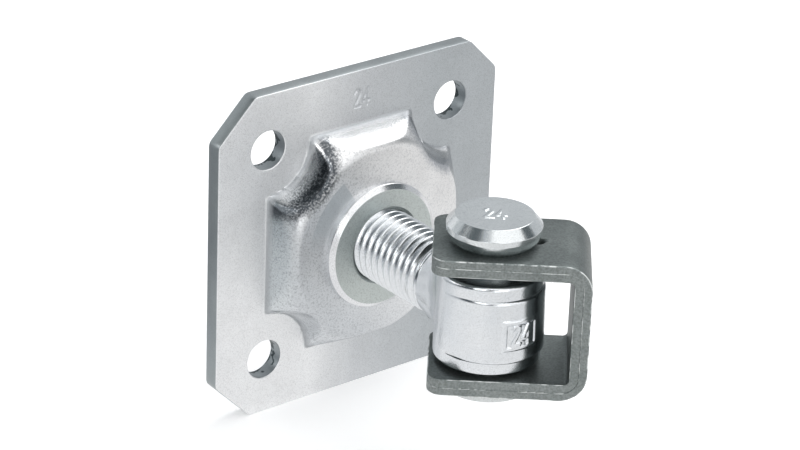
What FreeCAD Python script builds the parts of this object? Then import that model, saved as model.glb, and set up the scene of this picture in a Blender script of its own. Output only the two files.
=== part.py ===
"""Adjustable gate hinge: a pressed wall plate with a domed middle, a threaded collar nut held in
the dome, an eye bolt that screws in and out of the nut, and a U bracket that swings on a pin.

Frame: millimetres, +Z up along the pin. The plate's back is the plane y = 0 and everything stands
out from it towards -Y. The origin is the middle of the plate's back.
"""
import FreeCAD, Part
import math
import os

from FreeCAD import Placement, Rotation, Vector

# Wall plate, pressed from one steel sheet
plate_size = 110.0
plate_thickness = 5.5
corner_cut = 13.6
bolt_spacing = 72.5
bolt_hole_diameter = 13.0

# Dome pressed forward out of the plate
dome_width = 74.0
dome_height = 10.4
dome_draft = 22.0
scoop_radius = 16.5
shoulder_diameter = 63.0
shoulder_slope = 43.0
shoulder_round = 4.0
seat_rise = 0.8
seat_margin = 6.6

# Collar nut that is pressed through the dome and rolled over behind it
collar_diameter = 42.0
collar_face_diameter = 39.4
collar_thickness = 3.2
collar_bevel = 1.3
spigot_diameter = 32.0
rolled_lip_diameter = 39.0
rolled_lip_thickness = 3.0
nut_tail = 8.5
nut_mouth_bevel = 1.0

# Eye bolt, forged in one piece
thread_diameter = 24.0
thread_pitch = 3.0
thread_depth = 1.75
thread_crest_width = 0.4
thread_root_width = 0.6
thread_first_groove = 4.2
thread_runout = 1.5
thread_point_bevel = 2.0
tail_setback = 1.0
pin_standoff = 66.2
neck_reach = 21.5
neck_eye_height = 30.6
neck_eye_width = 25.0
neck_eye_margin = 0.6
eye_diameter = 33.2
eye_height = 29.5
eye_drop = 1.2
eye_offset = 0.8
eye_top_round = 1.6
eye_bottom_round = 0.5
band_diameter = 33.0
band_top_diameter = 31.8
band_offset = 0.9
band_bottom_step = 4.0
band_top_step = 4.8
band_round = 1.0
pad_width = 12.4
pad_height = 10.0
pad_centre_height = -2.4
pad_rise = 0.5
pad_turn = 6.0

# Hinge pin with its round head and its key
pin_diameter = 18.0
head_diameter = 29.5
head_top_diameter = 24.2
head_seat_diameter = 25.0
head_height = 8.6
head_side_bottom = 2.3
head_side_top = 5.6
head_side_lean = 0.5
head_under_bevel = 1.1
key_width = 4.2
key_reach = 13.4
key_depth = 4.0

# Weld-on U bracket, bent from flat bar
bar_width = 34.0
bar_thickness = 5.5
leg_tail = 18.4
web_reach = 30.2
bend_outer_radius = 8.6
bend_inner_radius = 1.5
leg_corner_radius = 5.0
notch_reach = 15.6
bracket_swing_at_rest = -40.5

# Retainer that is riveted on the pin's lower end
retainer_diameter = 29.4
retainer_thickness = 3.0
retainer_bevel = 0.4
tenon_diameter = 13.0

# Clearances
thread_clearance = 0.05
pin_clearance = 0.05
notch_clearance = 0.1
eye_top_clearance = 3.25
eye_bottom_clearance = 1.55


def revolved(profile, base, axis):
    """A solid turned from (radius, height) points about the axis through base."""
    points = [Vector(radius, 0, height) for radius, height in profile]
    face = Part.Face(Part.makePolygon(points + [points[0]]))
    solid = face.revolve(Vector(0, 0, 0), Vector(0, 0, 1), 360)
    turn = Rotation(Vector(0, 0, 1), axis)
    solid.Placement = Placement(base, turn)
    return solid


def wire_through(edges):
    return Part.Wire(Part.__sortEdges__(edges))


def rounded_corner(before, corner, after, radius):
    """The arc that rounds a corner, and the two points where it meets the straight sides."""
    into = (before - corner).normalize()
    out = (after - corner).normalize()
    half_angle = into.getAngle(out) / 2
    start = corner + into * (radius / math.tan(half_angle))
    end = corner + out * (radius / math.tan(half_angle))
    centre = corner + (into + out).normalize() * (radius / math.sin(half_angle))
    middle = centre + (corner - centre).normalize() * radius
    return start, middle, end


def rounded_outline(corners, radii):
    """A closed outline through the corners, each one rounded by its own radius."""
    count = len(corners)
    bends = []
    for index in range(count):
        before = corners[index - 1]
        after = corners[(index + 1) % count]
        bends.append(rounded_corner(before, corners[index], after, radii[index]))
    edges = []
    for index in range(count):
        start, middle, end = bends[index]
        edges.append(Part.Arc(start, middle, end).toShape())
        next_start = bends[(index + 1) % count][0]
        edges.append(Part.makeLine(end, next_start))
    return wire_through(edges)


def scooped_square(half_side, scoop, height):
    """The dome's outline: a square whose corners are scooped out round the bolt holes."""
    hole = bolt_spacing / 2
    reach = math.sqrt(scoop ** 2 - (hole - half_side) ** 2)
    near = hole - reach
    diagonal = hole - scoop / math.sqrt(2)
    edges = []
    for quarter in range(4):
        turn = Rotation(Vector(0, 0, 1), 90 * quarter)
        first = turn.multVec(Vector(near, half_side, height))
        middle = turn.multVec(Vector(diagonal, diagonal, height))
        last = turn.multVec(Vector(half_side, near, height))
        following = turn.multVec(Vector(half_side, -near, height))
        edges.append(Part.Arc(first, middle, last).toShape())
        edges.append(Part.makeLine(last, following))
    return wire_through(edges)


def dome_form(depth_below, wall):
    """The dome's skin as a solid, upwards along +Z from its foot, set in by a wall's thickness.

    It is a drafted prism on the scooped square, cut by a turned cone with a rounded shoulder.
    """
    draft = math.radians(dome_draft)
    slope = math.radians(shoulder_slope)
    foot = -depth_below
    top = dome_height - wall
    side_inset = wall / math.cos(draft)
    foot_side = dome_width / 2 - side_inset - foot * math.tan(draft)
    top_side = dome_width / 2 - side_inset - top * math.tan(draft)
    foot_scoop = scoop_radius + side_inset + foot * math.tan(draft)
    top_scoop = scoop_radius + side_inset + top * math.tan(draft)
    prism = Part.makeLoft(
        [scooped_square(foot_side, foot_scoop, foot), scooped_square(top_side, top_scoop, top)],
        True, True)

    shoulder = shoulder_diameter / 2 - wall / math.cos(slope) + wall * math.tan(slope)
    foot_radius = shoulder + (top - foot) * math.tan(slope)
    setback = shoulder_round * math.tan((math.pi / 2 - slope) / 2)
    flat_end = Vector(shoulder - setback, 0, top)
    slope_start = Vector(shoulder + setback * math.sin(slope), 0, top - setback * math.cos(slope))
    crown_centre = Vector(shoulder - setback, 0, top - shoulder_round)
    half_turn = (math.pi / 2 - slope) / 2
    crown = crown_centre + Vector(math.sin(half_turn), 0, math.cos(half_turn)) * shoulder_round
    axis_top = Vector(0, 0, top)
    axis_foot = Vector(0, 0, foot)
    edge_foot = Vector(foot_radius, 0, foot)
    outline = Part.Wire([
        Part.makeLine(axis_foot, axis_top),
        Part.makeLine(axis_top, flat_end),
        Part.Arc(flat_end, crown, slope_start).toShape(),
        Part.makeLine(slope_start, edge_foot),
        Part.makeLine(edge_foot, axis_foot)])
    cone = Part.Face(outline).revolve(Vector(0, 0, 0), Vector(0, 0, 1), 360)
    return prism.common(cone)


def facing_out(shape):
    """Turns a shape that was made upwards from z = 0 so that it stands out from y = 0 along -Y."""
    shape.Placement = Placement(Vector(0, 0, 0), Rotation(Vector(1, 0, 0), 90))
    return shape


def mounting_plate():
    """Square plate with cut corners, four bolt holes and a hollow dome of even thickness."""
    half = plate_size / 2
    near = half - corner_cut
    corners = [(near, half), (half, near), (half, -near), (near, -half),
               (-near, -half), (-half, -near), (-half, near), (-near, half)]
    points = [Vector(x, y, 0) for x, y in corners]
    plate = Part.Face(Part.makePolygon(points + [points[0]])).extrude(Vector(0, 0, plate_thickness))
    outer = dome_form(plate_thickness / 2, 0.0)
    outer.translate(Vector(0, 0, plate_thickness))
    hollow = dome_form(plate_thickness, plate_thickness)
    hollow.translate(Vector(0, 0, plate_thickness))
    plateau = plate_thickness + dome_height
    seat_radius = collar_diameter / 2 + seat_margin
    seat = revolved(
        [(0, plateau - seat_rise), (seat_radius, plateau - seat_rise), (seat_radius, plateau),
         (collar_diameter / 2, plateau + seat_rise), (0, plateau + seat_rise)],
        Vector(0, 0, 0), Vector(0, 0, 1))
    plate = plate.fuse([outer, seat]).cut(hollow)
    tools = [Part.makeCylinder(spigot_diameter / 2, plateau + 2 * seat_rise)]
    for x in (-bolt_spacing / 2, bolt_spacing / 2):
        for y in (-bolt_spacing / 2, bolt_spacing / 2):
            tools.append(Part.makeCylinder(bolt_hole_diameter / 2, plate_thickness, Vector(x, y, 0)))
    return facing_out(plate.cut(tools).removeSplitter())


seat_plane = plate_thickness + dome_height + seat_rise
recess_floor = dome_height
collar_face = seat_plane + collar_thickness
nut_back = recess_floor - nut_tail


def collar_nut():
    """Turned nut: a bevelled collar in front, a plain spigot through the dome, a lip behind it."""
    bore = thread_diameter / 2 + thread_clearance
    mouth = bore + nut_mouth_bevel
    lip_front = recess_floor
    lip_back = recess_floor - rolled_lip_thickness
    tail = spigot_diameter / 2
    profile = [
        (bore, nut_back + nut_mouth_bevel), (mouth, nut_back), (tail, nut_back), (tail, lip_back),
        (rolled_lip_diameter / 2, lip_back), (rolled_lip_diameter / 2, lip_front),
        (tail, lip_front), (tail, seat_plane), (collar_diameter / 2, seat_plane),
        (collar_diameter / 2, collar_face - collar_bevel), (collar_face_diameter / 2, collar_face),
        (mouth, collar_face), (bore, collar_face - nut_mouth_bevel)]
    return revolved(profile, Vector(0, 0, 0), Vector(0, -1, 0))


pin_axis_y = -(plate_thickness + pin_standoff)


eye_top = eye_height / 2 - eye_drop
eye_bottom = -eye_height / 2 - eye_drop


def rounded_boss(bottom_radius, top_radius, bottom, top, bottom_round, top_round, centre_y):
    """A round boss along +Z, straight or tapered, with both rims rounded."""
    profile = [(0, bottom), (bottom_radius, bottom), (top_radius, top), (0, top)]
    boss = revolved(profile, Vector(0, centre_y, 0), Vector(0, 0, 1))
    for height, rounding in ((bottom, bottom_round), (top, top_round)):
        rims = [edge for edge in boss.Edges
                if edge.BoundBox.ZLength < 1e-6 and abs(edge.BoundBox.ZMin - height) < 1e-6]
        boss = boss.makeFillet(rounding, rims)
    return boss


def thread_grooves(length):
    """The thread's profile points from its last groove at the neck to its first at the tail.

    The thread is cut as separate rings at its pitch, so each groove closes on itself. Points are
    (radius, height) with the height measured from the pin's axis, up to length at the tail.
    """
    crest = thread_diameter / 2
    root = crest - thread_depth
    half_root = thread_root_width / 2
    half_mouth = (thread_pitch - thread_crest_width) / 2
    room = length - neck_reach - thread_runout - half_mouth - thread_first_groove
    count = int(room / thread_pitch) + 1
    points = []
    for index in reversed(range(count)):
        middle = length - thread_first_groove - index * thread_pitch
        points += [(crest, middle - half_mouth), (root, middle - half_root),
                   (root, middle + half_root), (crest, middle + half_mouth)]
    return points


def eye_bolt():
    """Threaded shank, spreading neck and the eye with its band."""
    shank_radius = thread_diameter / 2
    tail_y = -tail_setback
    length = tail_y - pin_axis_y
    profile = [(0, 0), (neck_eye_height / 2, 0), (shank_radius, neck_reach)]
    profile += thread_grooves(length)
    profile += [(shank_radius, length - thread_point_bevel),
                (shank_radius - thread_point_bevel, length), (0, length)]
    shank = revolved(profile, Vector(0, pin_axis_y, 0), Vector(0, 1, 0))
    side_flats = Part.makeBox(neck_eye_width, length, eye_height - 2 * neck_eye_margin)
    side_flats.translate(Vector(-neck_eye_width / 2, pin_axis_y, eye_bottom + neck_eye_margin))
    shank = shank.common(side_flats)
    eye = rounded_boss(eye_diameter / 2, eye_diameter / 2, eye_bottom, eye_top,
                       eye_bottom_round, eye_top_round, pin_axis_y + eye_offset)
    band_low = eye_bottom + band_bottom_step
    band_high = eye_top - band_top_step
    band_y = pin_axis_y - band_offset
    band = rounded_boss(band_diameter / 2, band_top_diameter / 2, band_low, band_high,
                        band_round, band_round, band_y)
    pad_block = Part.makeBox(pad_width, band_diameter, pad_height)
    pad_block.translate(Vector(-pad_width / 2, -band_diameter, pad_centre_height - pad_height / 2))
    pad_block.rotate(Vector(0, 0, 0), Vector(0, 0, 1), -pad_turn)
    pad_block.translate(Vector(0, band_y, 0))
    pad_skin = Part.makeCone(
        band_diameter / 2 + pad_rise, band_top_diameter / 2 + pad_rise, band_high - band_low,
        Vector(0, band_y, band_low))
    bolt = shank.fuse([eye, band, pad_block.common(pad_skin)])
    bore = Part.makeCylinder(
        pin_diameter / 2 + pin_clearance, eye_height, Vector(0, pin_axis_y, eye_bottom))
    return bolt.cut(bore)


leg_inner_top = eye_top + eye_top_clearance
leg_outer_top = leg_inner_top + bar_thickness
leg_inner_bottom = eye_bottom - eye_bottom_clearance
leg_outer_bottom = leg_inner_bottom - bar_thickness


def swung_to_rest(shape):
    """Turns what was modelled with the web towards +X, about the pin, to where it rests."""
    shape.rotate(Vector(0, 0, 0), Vector(0, 0, 1), bracket_swing_at_rest)
    shape.translate(Vector(0, pin_axis_y, 0))
    return shape


def u_bracket():
    """Flat bar bent into a U, with rounded leg ends, pin holes and a key notch in the top leg."""
    web_inner = web_reach - bar_thickness
    outline = [(-leg_tail, leg_outer_top), (web_reach, leg_outer_top),
               (web_reach, leg_outer_bottom), (-leg_tail, leg_outer_bottom)]
    opening = [(-2 * leg_tail, leg_inner_top), (web_inner, leg_inner_top),
               (web_inner, leg_inner_bottom), (-2 * leg_tail, leg_inner_bottom)]
    sharp = 0.05
    outer_points = [Vector(x, -bar_width / 2, z) for x, z in outline]
    outer_wire = rounded_outline(outer_points, [sharp, bend_outer_radius, bend_outer_radius, sharp])
    inner_points = [Vector(x, -bar_width / 2, z) for x, z in opening]
    inner_wire = rounded_outline(inner_points, [sharp, bend_inner_radius, bend_inner_radius, sharp])
    along_bar = Vector(0, bar_width, 0)
    bracket = Part.Face(outer_wire).extrude(along_bar)
    bracket = bracket.cut(Part.Face(inner_wire).extrude(along_bar))
    plan = [Vector(-leg_tail, -bar_width / 2, leg_outer_bottom),
            Vector(web_reach, -bar_width / 2, leg_outer_bottom),
            Vector(web_reach, bar_width / 2, leg_outer_bottom),
            Vector(-leg_tail, bar_width / 2, leg_outer_bottom)]
    plan_wire = rounded_outline(plan, [leg_corner_radius, sharp, sharp, leg_corner_radius])
    bracket = bracket.common(Part.Face(plan_wire).extrude(
        Vector(0, 0, leg_outer_top - leg_outer_bottom)))
    hole = Part.makeCylinder(
        pin_diameter / 2 + pin_clearance, leg_outer_top - leg_outer_bottom,
        Vector(0, 0, leg_outer_bottom))
    notch_half = key_width / 2 + notch_clearance
    notch_end = notch_reach - notch_half
    notch = Part.makeBox(
        notch_end, 2 * notch_half, bar_thickness, Vector(0, -notch_half, leg_inner_top))
    notch_round = Part.makeCylinder(notch_half, bar_thickness, Vector(notch_end, 0, leg_inner_top))
    return swung_to_rest(bracket.cut([hole, notch, notch_round]))


retainer_bottom = leg_outer_bottom - retainer_thickness


def hinge_pin():
    """Pin with a broad bevelled head, a key under the head and a thinner tenon at the bottom."""
    radius = pin_diameter / 2
    tenon = tenon_diameter / 2
    head = leg_outer_top
    widest = head_diameter / 2
    seat = head_seat_diameter / 2
    pin = revolved(
        [(0, retainer_bottom), (tenon, retainer_bottom), (tenon, leg_outer_bottom),
         (radius, leg_outer_bottom), (radius, head), (seat, head),
         (widest - head_under_bevel, head + head_side_bottom - head_under_bevel),
         (widest - head_side_lean, head + head_side_bottom), (widest, head + head_side_top),
         (head_top_diameter / 2, head + head_height), (0, head + head_height)],
        Vector(0, 0, 0), Vector(0, 0, 1))
    key = Part.makeBox(key_reach, key_width, key_depth, Vector(0, -key_width / 2, head - key_depth))
    return swung_to_rest(pin.fuse(key))


def pin_retainer():
    """Round steel disc with a bevelled lower rim, riveted on the pin's tenon."""
    outer = retainer_diameter / 2
    bore = tenon_diameter / 2
    ring = revolved(
        [(bore, retainer_bottom), (outer - retainer_bevel, retainer_bottom),
         (outer, retainer_bottom + retainer_bevel), (outer, leg_outer_bottom),
         (bore, leg_outer_bottom)],
        Vector(0, 0, 0), Vector(0, 0, 1))
    return swung_to_rest(ring)


nodes = {
    "mounting_plate": mounting_plate,
    "collar_nut": collar_nut,
    "eye_bolt": eye_bolt,
    "hinge_pin": hinge_pin,
    "u_bracket": u_bracket,
    "pin_retainer": pin_retainer,
}

os.makedirs("parts", exist_ok=True)
for name, make in nodes.items():
    shape = make()
    shape.exportStep(os.path.join("parts", name + ".step"))
    box = shape.BoundBox
    print(name, "solids", len(shape.Solids), "valid", shape.isValid(), "volume", round(shape.Volume),
          "box", [round(v, 2) for v in (box.XMin, box.YMin, box.ZMin, box.XMax, box.YMax, box.ZMax)])
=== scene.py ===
"""Adjustable gate hinge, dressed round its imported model: every steel piece as a worked surface."""

import bpy
import numpy as np
from mathutils import Matrix, Vector


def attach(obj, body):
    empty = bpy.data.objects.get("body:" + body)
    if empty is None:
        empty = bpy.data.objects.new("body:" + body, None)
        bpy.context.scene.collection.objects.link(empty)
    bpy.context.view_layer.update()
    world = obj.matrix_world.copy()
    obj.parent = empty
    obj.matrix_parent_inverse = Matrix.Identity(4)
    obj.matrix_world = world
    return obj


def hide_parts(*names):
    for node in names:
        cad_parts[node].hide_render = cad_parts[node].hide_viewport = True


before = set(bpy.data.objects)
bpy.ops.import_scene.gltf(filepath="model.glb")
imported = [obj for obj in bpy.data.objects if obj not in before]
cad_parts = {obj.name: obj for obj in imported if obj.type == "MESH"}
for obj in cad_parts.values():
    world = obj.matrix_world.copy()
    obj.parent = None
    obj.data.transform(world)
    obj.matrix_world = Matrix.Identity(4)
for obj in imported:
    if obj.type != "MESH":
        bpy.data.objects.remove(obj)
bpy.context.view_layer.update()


# The wall plate: pressed from one 5.5 mm steel sheet, with cut corners, four bolt holes, a hollow
# dome whose corners are scooped round the holes, and a low seat that carries the nut's collar.
# It is bright zinc plated. Its skin is one height over the plate's plan, front and back.
PLATE_HALF = 55.0
PLATE_THICKNESS = 5.5
CORNER_CUT = 13.6
UPPER_RIGHT_CUT = 11.2
CORNER_ROUND = 3.0
BOLT_OFFSET = 36.25
BOLT_HOLE_RADIUS = 6.5
DOME_HALF = 37.0
DOME_LEFT = 36.5
DOME_HEIGHT = 10.4
DOME_DRAFT = np.radians(22.0)
SCOOP_RADIUS = 16.0
SHOULDER_RADIUS = 32.8
SHOULDER_SLOPE = np.radians(43.0)
CORNER_BLEND = 5.0
SHOULDER_BLEND = 2.2
FOOT_BLEND = 1.2
SEAT_TOP_RADIUS = 19.0
SEAT_FOOT_RADIUS = 32.0
SEAT_RISE = 0.25
SEAT_SLOPE = 1.0
SEAT_HIGH_SIDE = np.radians(60.0)
SPIGOT_RADIUS = 16.0
PLATE_EDGE_ROUND = 0.25
HOLE_EDGE_ROUND = 0.35
STAMP_HEIGHT = 45.5
STAMP_SIZE = 6.0
STAMP_DEPTH = 0.4
MESH_STEP = 0.85
FINE_STEP = 0.27
CELL_SPLIT = BOLT_OFFSET - 14.0
FOOT_STRETCH = 32.6, 38.2
STAMP_STRETCH = 42.0, 49.0
STAMP_REACH = 4.2
RIM_STRETCH = 1.0


def smooth_min(first, second, width):
    """The lesser of two heights, rounded by a parabola where less than the width parts them."""
    near = np.clip(width - np.abs(first - second), 0, None) / width
    return np.minimum(first, second) - near * near * width / 4


def smooth_max(first, second, width):
    """The greater of two heights, rounded in the same way."""
    return -smooth_min(-first, -second, width)


def edge_drop(distance, rounding):
    """How far a surface falls towards its rim: a quarter circle over the last stretch."""
    inside = np.clip(rounding - distance, 0, rounding)
    return rounding - np.sqrt(np.clip(rounding ** 2 - inside ** 2, 0, None))


def nearest_on(x, z, segments):
    """The place on the segments that is nearest to each place, and how far away it is."""
    best = np.full(np.shape(x), 1e9)
    near_x, near_z = 0 * best, 0 * best
    for (ax, az), (bx, bz) in segments:
        dx, dz = bx - ax, bz - az
        t = np.clip(((x - ax) * dx + (z - az) * dz) / (dx * dx + dz * dz), 0, 1)
        px, pz = ax + t * dx, az + t * dz
        nearer = np.hypot(x - px, z - pz) < best
        best = np.where(nearer, np.hypot(x - px, z - pz), best)
        near_x, near_z = np.where(nearer, px, near_x), np.where(nearer, pz, near_z)
    return best, near_x, near_z


def corner_core(cut):
    """The outline of one quarter of the plate, set in by the radius that rounds its corners."""
    side = PLATE_HALF - CORNER_ROUND
    near = PLATE_HALF - cut - CORNER_ROUND * (np.sqrt(2) - 1)
    return [((0, side), (near, side)), ((near, side), (side, near)), ((side, near), (side, 0))]


def quarter_distance(ax, az, cut):
    """Distance in from the rounded outline of one quarter of the plate."""
    diagonal = (2 * PLATE_HALF - cut - ax - az) / np.sqrt(2)
    straight = np.minimum(np.minimum(PLATE_HALF - ax, PLATE_HALF - az), diagonal)
    rounded = CORNER_ROUND - nearest_on(ax, az, corner_core(cut))[0]
    return np.where(straight > CORNER_ROUND, straight, rounded)


def rim_distance(x, z):
    """Distance from the plate's outline, whose upper right corner is cut less, and from a hole."""
    ax, az = np.abs(x), np.abs(z)
    outline = np.where((x > 0) & (z > 0), quarter_distance(ax, az, UPPER_RIGHT_CUT),
                       quarter_distance(ax, az, CORNER_CUT))
    hole = np.hypot(ax - BOLT_OFFSET, az - BOLT_OFFSET) - BOLT_HOLE_RADIUS
    return outline, hole


def dome_over_plate(x, z, wall):
    """Height of the pressed dome: the lowest of its drafted sides, its cone and its flat top.

    The wall is how far the skin lies inside the dome's outer skin, measured square to it.
    """
    ax, az = np.abs(x), np.abs(z)
    inset = wall / np.cos(DOME_DRAFT) - wall * np.tan(DOME_DRAFT)
    sides = np.where((ax > az) & (x < 0), DOME_LEFT, DOME_HALF) - np.maximum(ax, az)
    scoops = np.hypot(ax - BOLT_OFFSET, az - BOLT_OFFSET) - SCOOP_RADIUS
    blend = FOOT_BLEND + np.clip(np.minimum(sides, scoops), 0, CORNER_BLEND)
    flank = (smooth_min(sides, scoops, blend) - inset) / np.tan(DOME_DRAFT)
    shoulder = SHOULDER_RADIUS - wall / np.cos(SHOULDER_SLOPE) + wall * np.tan(SHOULDER_SLOPE)
    cone = DOME_HEIGHT + (shoulder - np.hypot(x, z)) / np.tan(SHOULDER_SLOPE)
    height = smooth_min(smooth_min(flank, cone, SHOULDER_BLEND), DOME_HEIGHT, SHOULDER_BLEND)
    return smooth_max(height, 0, FOOT_BLEND)


def number_strokes(size):
    """Plain strokes of the number 24, as segments in a square field of the given height."""
    two = [(-0.95, 0.62), (-0.78, 0.9), (-0.5, 0.95), (-0.25, 0.78), (-0.25, 0.45), (-0.95, -0.9),
           (-0.2, -0.9)]
    four = [(0.75, -0.95), (0.75, 0.95), (0.15, -0.4), (0.98, -0.4)]
    segments = [(a, b) for run in (two, four) for a, b in zip(run[:-1], run[1:])]
    return np.array(segments) * size / 2


def ease(value, start, end):
    """An S curve from 0 at the start to 1 at the end: three squares less two cubes of the share."""
    t = np.clip((value - start) / (end - start), 0, 1)
    return t * t * (3 - 2 * t)


def rim_drop(x, z):
    """How far either skin falls away at the plate's outline and at its holes."""
    outline, hole = rim_distance(x, z)
    return edge_drop(outline, PLATE_EDGE_ROUND) + edge_drop(hole, HOLE_EDGE_ROUND)


def plate_front(x, z):
    """Plate, dome and seat, rounded at every rim, with a size number struck in above the dome.

    The seat stands a little proud, most towards its high side, and fades out over the dome.
    """
    stroke = nearest_on(x, z - STAMP_HEIGHT, number_strokes(STAMP_SIZE))[0]
    struck = STAMP_DEPTH * (1 - ease(stroke, 0.2, 0.6))
    towards_high = 0.5 + 0.5 * np.cos(np.arctan2(z, x) - SEAT_HIGH_SIDE)
    fading = 1 - ease(np.hypot(x, z), SEAT_TOP_RADIUS, SEAT_FOOT_RADIUS)
    seat = (SEAT_RISE + SEAT_SLOPE * towards_high) * fading
    return PLATE_THICKNESS + dome_over_plate(x, z, 0.0) + seat - rim_drop(x, z) - struck


def plate_back(x, z):
    """The hollow side: the dome's skin, one thickness of sheet inside the front."""
    return dome_over_plate(x, z, PLATE_THICKNESS) + rim_drop(x, z)


def grid_triangles(rows, columns):
    """Two triangles for each cell of a grid whose points are counted row by row."""
    first = (np.arange(rows - 1)[:, None] * columns + np.arange(columns - 1)[None, :]).ravel()
    lower = np.stack([first, first + 1, first + columns + 1], 1)
    upper = np.stack([first, first + columns + 1, first + columns], 1)
    return np.concatenate([lower, upper])


def welded(points, triangles):
    """Merges points that share a place to a tenth of a micron and drops what collapses."""
    keys, inverse = np.unique(np.round(points, 4), axis=0, return_inverse=True)
    triangles = inverse.ravel()[triangles]
    a, b, c = triangles.T
    return keys, triangles[(a != b) & (b != c) & (c != a)]


def grid_mesh(places):
    """Points and triangles of a surface that is given as a grid of places, row by row."""
    return welded(places.reshape(-1, 3), grid_triangles(*places.shape[:2]))


def spaced(start, end, step, fine=None, fine_step=None):
    """Places from start to end about a step apart, closer together inside the fine stretch."""
    if fine is None:
        return np.linspace(start, end, int(round((end - start) / step)) + 1)
    return np.unique(np.round(np.concatenate([
        spaced(start, fine[0], step), spaced(fine[0], fine[1], fine_step),
        spaced(fine[1], end, step)]), 6))


def towards_rims(count, start_step, end_step):
    """Shares from 0 to 1, closer together near both ends.

    Each end moves the even shares by a bump: its step less one, times 1.3, times the distance
    from that end and the cube of the distance from the other.
    """
    t = np.linspace(0, 1, count)
    eased = t + (start_step - 1) * t * (1 - t) ** 3 * 1.3 - (end_step - 1) * t ** 3 * (1 - t) * 1.3
    return np.clip(eased, 0, 1)


def quarter_turned(plan, turn):
    """Places in the plan, turned by so many quarters about the plate's middle."""
    c, s = [(1, 0), (0, 1), (-1, 0), (0, -1)][turn]
    x, z = plan[..., 0], plan[..., 1]
    return np.stack([x * c - z * s, x * s + z * c], -1)


def ray_cell(edge, centre, radius, count):
    """Straight rays from a round rim to an outer edge: row by share of the way, column by ray."""
    away = edge - centre
    rim = centre + radius * away / np.linalg.norm(away, axis=1, keepdims=True)
    shares = towards_rims(count, 0.18, 0.3)[:, None, None]
    return rim[None] * (1 - shares) + edge[None] * shares


def plan_cells():
    """The plate's plan as nine cells: a round hole in each corner and the middle, plain between.

    A cell with a hole is filled by rays from the hole's rim to the cell's edge. The cells are
    finer over the dome's foot, along the plate's rim and where the number is struck.
    """
    split, (foot_start, foot_end), rim_start = CELL_SPLIT, FOOT_STRETCH, PLATE_HALF - RIM_STRETCH
    rims = PLATE_HALF - RIM_STRETCH * np.array([1.0, 0.5, 0.25, 0.17, 0.08, 0.0])
    foot = np.concatenate([spaced(split, foot_start, MESH_STEP),
                           spaced(foot_start, foot_end, 0.35)[1:]])
    plain = np.concatenate([foot, spaced(foot_end, rim_start, MESH_STEP)[1:-1], rims])
    struck = spaced(foot_end, rim_start, MESH_STEP, STAMP_STRETCH, FINE_STEP)[1:-1]
    struck = np.concatenate([foot, struck, rims])
    across = spaced(-split, split, MESH_STEP)
    over_number = spaced(-split, split, MESH_STEP, (-STAMP_REACH, STAMP_REACH), FINE_STEP)
    cells = []
    for turn in range(4):
        first, last = (struck if turn == 0 else plain), (struck if turn == 1 else plain)
        middle = over_number if turn == 0 else across
        cells.append(quarter_turned(np.stack(np.meshgrid(middle, first), -1), turn))
        cut = UPPER_RIGHT_CUT if turn == 0 else CORNER_CUT
        near_corner = PLATE_HALF - cut
        along = spaced(split, near_corner, 0.75)
        diagonal = cut * (np.sin(np.linspace(-np.pi / 2, np.pi / 2, 27)) / 2 + 0.5)
        edge_x = np.concatenate([0 * first + split, along[1:], near_corner + diagonal[1:],
                                 0 * along[1:] + PLATE_HALF, last[::-1][1:]])
        edge_z = np.concatenate([first, 0 * along[1:] + PLATE_HALF, PLATE_HALF - diagonal[1:],
                                 along[::-1][1:], 0 * last[1:] + split])
        _, near_x, near_z = nearest_on(edge_x, edge_z, corner_core(cut))
        reach = np.hypot(edge_x - near_x, edge_z - near_z)
        rounded = (np.minimum(edge_x, edge_z) > BOLT_OFFSET - 10) & (reach >= CORNER_ROUND)
        pull = np.where(rounded, CORNER_ROUND / reach, 1)
        edge = np.stack([near_x + (edge_x - near_x) * pull, near_z + (edge_z - near_z) * pull], -1)
        rays = ray_cell(edge[::-1], np.full(2, BOLT_OFFSET), BOLT_HOLE_RADIUS, 30)
        cells.append(quarter_turned(rays, turn))
    top = over_number[::-1]
    ring = np.concatenate([
        np.stack([across, 0 * across - split], -1), np.stack([0 * across + split, across], -1)[1:],
        np.stack([top, 0 * top + split], -1)[1:],
        np.stack([0 * across - split, across[::-1]], -1)[1:]])
    cells.append(ray_cell(ring, np.zeros(2), SPIGOT_RADIUS, 16))
    return cells


def plate_surface():
    """Front and back sheets over the same plan, joined by walls along every open edge.

    An edge is open where one triangle of the plan alone uses it.
    """
    points, triangles, count = [], [], 0
    for cell in plan_cells():
        points.append(cell.reshape(-1, 2))
        triangles.append(grid_triangles(*cell.shape[:2]) + count)
        count += len(points[-1])
    plan, faces = welded(np.concatenate(points), np.concatenate(triangles))
    corners = plan[faces]
    first, second = corners[:, 1] - corners[:, 0], corners[:, 2] - corners[:, 0]
    area = first[:, 0] * second[:, 1] - first[:, 1] * second[:, 0]
    faces, area = faces[np.abs(area) > 1e-9], area[np.abs(area) > 1e-9]
    faces[area < 0] = faces[area < 0][:, ::-1]
    x, z = plan.T
    front = np.stack([x, -plate_front(x, z), z], 1)
    back = np.stack([x, -plate_back(x, z), z], 1)
    total = len(plan)
    edges = np.concatenate([faces[:, [0, 1]], faces[:, [1, 2]], faces[:, [2, 0]]])
    key = edges.min(1) * total + edges.max(1)
    _, where, uses = np.unique(key, return_index=True, return_counts=True)
    start, end = edges[where[uses == 1]].T
    walls = np.concatenate([np.stack([end, start, start + total], 1),
                            np.stack([end, start + total, end + total], 1)])
    return np.concatenate([front, back]), np.concatenate([faces, faces[:, ::-1] + total, walls])


def linked(name, data):
    """An object at the world's origin that holds a mesh, a lamp or a camera."""
    made = bpy.data.objects.new(name, data)
    bpy.context.scene.collection.objects.link(made)
    return made


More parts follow.
